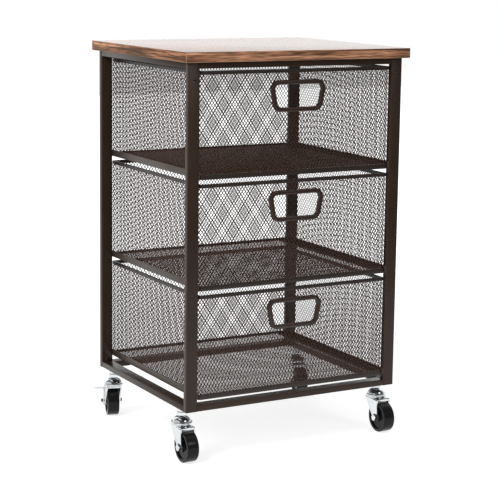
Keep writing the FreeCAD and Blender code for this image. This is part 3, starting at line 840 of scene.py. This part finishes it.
# Wheels: moulded in glossy black plastic, with a hub that keeps them off the fork, a thinner
# web, and a tread with rounded shoulders and a fine parting line round the middle. The paler
# grey on the wheels' sharp edges is a painted highlight along the tread shoulders.
WHEEL_R = 25.0 * MM
WHEEL_HALF_W = 10.0 * MM
HUB_HALF_W = 10.8 * MM
HUB_R = 7.5 * MM
BORE_R = 3.05 * MM
RIM_INNER_R = 20.0 * MM
WEB_HALF_W = 7.4 * MM
SHOULDER_R = 1.4 * MM
PARTING_W = 0.35 * MM
PARTING_DEPTH = 0.2 * MM
PARTING_FLOOR_W = 0.14 * MM
LIP_CUT = 0.4 * MM
HUB_CUT = 0.5 * MM
WEB_RISE = 0.6 * MM
HUB_FOOT = (0.6 * MM, 1.4 * MM)
RIM_FOOT = (0.4 * MM, 1.2 * MM)
SHOULDER_STEPS = 6
WHEEL_TURN_STEPS = 96
BLACK = (0.0035, 0.0035, 0.004, 1.0)
# Paler grey on the wheel's sharp edges: a painted highlight, not wear.
BLACK_PAINTED_EDGE_HIGHLIGHT = (0.16, 0.15, 0.14, 1.0)
WHEEL_PLASTIC = coated("black_wheel_plastic", BLACK, BLACK_PAINTED_EDGE_HIGHLIGHT, grain_scale=900.0, wear_and_highlight_share=0.9,
                       rough=(0.1, 0.2), bump=0.04, shine=0.16)


def wheel_half():
    """Outline of one half of the wheel from the bore out to the middle of the tread."""
    hub = [(BORE_R, HUB_HALF_W - LIP_CUT), (BORE_R + LIP_CUT, HUB_HALF_W), (HUB_R - HUB_CUT, HUB_HALF_W),
           (HUB_R, HUB_HALF_W - HUB_CUT)]
    web = [(HUB_R + HUB_FOOT[0], WEB_HALF_W + WEB_RISE), (HUB_R + HUB_FOOT[1], WEB_HALF_W),
           (RIM_INNER_R - RIM_FOOT[1], WEB_HALF_W), (RIM_INNER_R - RIM_FOOT[0], WEB_HALF_W + WEB_RISE)]
    rim = [(RIM_INNER_R, WHEEL_HALF_W - LIP_CUT), (RIM_INNER_R + LIP_CUT, WHEEL_HALF_W)]
    points = hub + web + rim
    for i in range(SHOULDER_STEPS + 1):
        angle = math.pi / 2 * i / SHOULDER_STEPS
        points.append((WHEEL_R - SHOULDER_R + SHOULDER_R * math.sin(angle),
                       WHEEL_HALF_W - SHOULDER_R + SHOULDER_R * math.cos(angle)))
    points.append((WHEEL_R, PARTING_W))
    points.append((WHEEL_R - PARTING_DEPTH, PARTING_FLOOR_W))
    return points


half = wheel_half()
wheel_outline = half + [(radius, -height) for radius, height in reversed(half)]
wheel_pattern = lathe("wheel_pattern", wheel_outline, steps=WHEEL_TURN_STEPS, closed=True)
for key in CASTERS:
    spin = JOINTS[f"wheel_spin_{key}"]
    axis = Vector(spin["axis"])
    place = Matrix.Translation(spin["pos_m"]) @ axis.to_track_quat("Z", "Y").to_matrix().to_4x4()
    wheel_mesh = joined(f"wheel_{key}", [(wheel_pattern, place)])
    wheel = put(f"caster_wheel_{key}_moulded", wheel_mesh, WHEEL_PLASTIC)
    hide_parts(f"caster_wheel_{key}")
    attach(wheel, f"wheel_{key}")

# Studio: a pale floor that keeps the shadow, a surround that is white to the camera and
# bright behind, left and above but dark in front in reflections, and four soft lamps.
FLOOR_HALF = 6.0
WORLD_LIGHT = 0.36
FLOOR_GLOW = 0.75
FLOOR_FAR_GLOW = 0.4
FLOOR_GREY = 0.62
FLOOR_MIRROR_GLOW = 1.1
FLOOR_POOL = (0.5, 1.9)
ROOM_DARK = 0.08
BACK_WAY = (0.49, 0.87)
BACK_WALL = (0.05, 0.6, 1.25)
LEFT_WALL = (0.6, 0.85, 0.7)
CEILING = (0.82, 0.95, 0.9)


def seen_directly(tree):
    """1 for camera and clear-glass rays, 0 for the rays that light or mirror other things."""
    path = tree.nodes.new("ShaderNodeLightPath")
    return math_node(tree, "MAXIMUM", path.outputs["Is Camera Ray"], path.outputs["Is Transmission Ray"])


def ramp_up(tree, value, start, end, top):
    """Smooth step of a value from 0 at the start to a top level at the end."""
    step = tree.nodes.new("ShaderNodeMapRange")
    step.interpolation_type = "SMOOTHSTEP"
    step.inputs["From Min"].default_value = start
    step.inputs["From Max"].default_value = end
    step.inputs["To Max"].default_value = top
    tree.links.new(value, step.inputs["Value"])
    return step.outputs["Result"]


floor_mesh = bpy.data.meshes.new("studio_floor")
floor_corners = [(x * FLOOR_HALF, y * FLOOR_HALF, 0) for x, y in ((-1, -1), (1, -1), (1, 1), (-1, 1))]
floor_mesh.from_pydata(floor_corners, [], [(0, 1, 2, 3)])
floor_paint = bpy.data.materials.new("studio_floor_paint")
floor_paint.use_nodes = True
paint_tree = floor_paint.node_tree
paint_tree.nodes.clear()
matt = paint_tree.nodes.new("ShaderNodeBsdfDiffuse")
glow = paint_tree.nodes.new("ShaderNodeEmission")
floor_path = paint_tree.nodes.new("ShaderNodeLightPath")
is_mirrored = floor_path.outputs["Is Glossy Ray"]
mirrored_grey = math_node(paint_tree, "MULTIPLY", is_mirrored, FLOOR_GREY)
plain_grey = math_node(paint_tree, "SUBTRACT", FLOOR_GREY, mirrored_grey)
paint_tree.links.new(plain_grey, matt.inputs["Color"])
floor_place = paint_tree.nodes.new("ShaderNodeTexCoord")
reach = paint_tree.nodes.new("ShaderNodeVectorMath")
reach.operation = "LENGTH"
paint_tree.links.new(floor_place.outputs["Object"], reach.inputs[0])
far_off = ramp_up(paint_tree, reach.outputs["Value"], FLOOR_POOL[0], FLOOR_POOL[1], 1.0)
floor_spot = paint_tree.nodes.new("ShaderNodeSeparateXYZ")
paint_tree.links.new(floor_place.outputs["Object"], floor_spot.inputs["Vector"])
rear_floor = ramp_up(paint_tree, floor_spot.outputs["Y"], 0.0, FLOOR_POOL[0], 1.0)
pool = math_node(paint_tree, "MAXIMUM", math_node(paint_tree, "SUBTRACT", 1.0, far_off), rear_floor)
pool_glow = math_node(paint_tree, "MULTIPLY", pool, FLOOR_MIRROR_GLOW)
mirror_glow = math_node(paint_tree, "MULTIPLY", is_mirrored, pool_glow)
far_glow = math_node(paint_tree, "MULTIPLY", far_off, FLOOR_FAR_GLOW)
seen_glow = math_node(paint_tree, "ADD", far_glow, FLOOR_GLOW)
direct_glow = math_node(paint_tree, "MULTIPLY", seen_directly(paint_tree), seen_glow)
paint_tree.links.new(math_node(paint_tree, "MAXIMUM", direct_glow, mirror_glow), glow.inputs["Strength"])
both = paint_tree.nodes.new("ShaderNodeAddShader")
paint_out = paint_tree.nodes.new("ShaderNodeOutputMaterial")
paint_tree.links.new(matt.outputs["BSDF"], both.inputs[0])
paint_tree.links.new(glow.outputs["Emission"], both.inputs[1])
paint_tree.links.new(both.outputs["Shader"], paint_out.inputs["Surface"])
studio_floor = put("studio_floor", floor_mesh, floor_paint)

world = bpy.data.worlds.new("studio")
world.use_nodes = True
bpy.context.scene.world = world
air = world.node_tree.nodes["Background"]
air.inputs["Color"].default_value = (1.0, 1.0, 1.0, 1.0)
sky = world.node_tree
way = sky.nodes.new("ShaderNodeTexCoord")
ways = sky.nodes.new("ShaderNodeSeparateXYZ")
sky.links.new(way.outputs["Generated"], ways.inputs["Vector"])
behind = math_node(sky, "ADD", math_node(sky, "MULTIPLY", ways.outputs["X"], BACK_WAY[0]),
                   math_node(sky, "MULTIPLY", ways.outputs["Y"], BACK_WAY[1]))
back_wall = ramp_up(sky, behind, *BACK_WALL)
left_wall = ramp_up(sky, math_node(sky, "MULTIPLY", ways.outputs["X"], -1.0), *LEFT_WALL)
ceiling = ramp_up(sky, ways.outputs["Z"], *CEILING)
mirrored = math_node(sky, "MAXIMUM", back_wall, math_node(sky, "MAXIMUM", left_wall, ceiling))
mirrored = math_node(sky, "MAXIMUM", mirrored, ROOM_DARK)
kinds = sky.nodes.new("ShaderNodeLightPath")
lit = sky.nodes.new("ShaderNodeMix")
lit.inputs["A"].default_value = WORLD_LIGHT
sky.links.new(kinds.outputs["Is Glossy Ray"], lit.inputs["Factor"])
sky.links.new(mirrored, lit.inputs["B"])
sky.links.new(math_node(sky, "MAXIMUM", lit.outputs["Result"], seen_directly(sky)), air.inputs["Strength"])


def soft_lamp(name, place, aim, size, watts, mirrored=False):
    """Square area lamp that looks at a point; only a mirrored one shows in reflections."""
    lamp = bpy.data.lights.new(name, "AREA")
    lamp.shape = "SQUARE"
    lamp.size = size
    lamp.energy = watts
    holder = bpy.data.objects.new(name, lamp)
    holder.visible_glossy = mirrored
    holder.location = place
    holder.rotation_euler = (Vector(aim) - Vector(place)).to_track_quat("-Z", "Y").to_euler()
    bpy.context.scene.collection.objects.link(holder)


soft_lamp("key_lamp", place=(-2.2, -0.9, 1.9), aim=(0, 0, 0.3), size=1.4, watts=46.0)
soft_lamp("front_lamp", place=(0.9, -2.6, 1.7), aim=(0, 0, 0.1), size=0.9, watts=9.0, mirrored=True)
soft_lamp("low_lamp", place=(-0.7, -1.8, 0.25), aim=(0, 0, 0.1), size=0.6, watts=4.0)
soft_lamp("back_lamp", place=(0.4, 2.2, 2.2), aim=(0, 0, 0.4), size=1.8, watts=12.0)

# Camera: stands left of the front and a little above, as the photograph was taken, with a long
# lens and a small drop of the frame.
IMAGE_PX = 500.0
FOCAL_PX = 1601.1
SENSOR_MM = 36.0
EYE = (-1.3086, -2.3272, 0.7949)
YAW = math.radians(29.50)
PITCH = math.radians(9.55)
ROLL = math.radians(0.78)
PRINCIPAL_RISE_PX = 25.0
lens = bpy.data.cameras.new("photo_camera")
lens.sensor_width = SENSOR_MM
lens.lens = SENSOR_MM * FOCAL_PX / IMAGE_PX
lens.shift_y = -PRINCIPAL_RISE_PX / IMAGE_PX
camera = bpy.data.objects.new("photo_camera", lens)
look = Vector((math.sin(YAW) * math.cos(PITCH), math.cos(YAW) * math.cos(PITCH), -math.sin(PITCH)))
level_right = Vector((math.cos(YAW), -math.sin(YAW), 0))
level_up = level_right.cross(look)
right = level_right * math.cos(ROLL) + level_up * math.sin(ROLL)
up = level_up * math.cos(ROLL) - level_right * math.sin(ROLL)
turn = Matrix((right, up, -look)).transposed()
camera.matrix_world = Matrix.Translation(EYE) @ turn.to_4x4()
bpy.context.scene.collection.objects.link(camera)
bpy.context.scene.camera = camera
bpy.context.scene.view_settings.view_transform = "Standard"
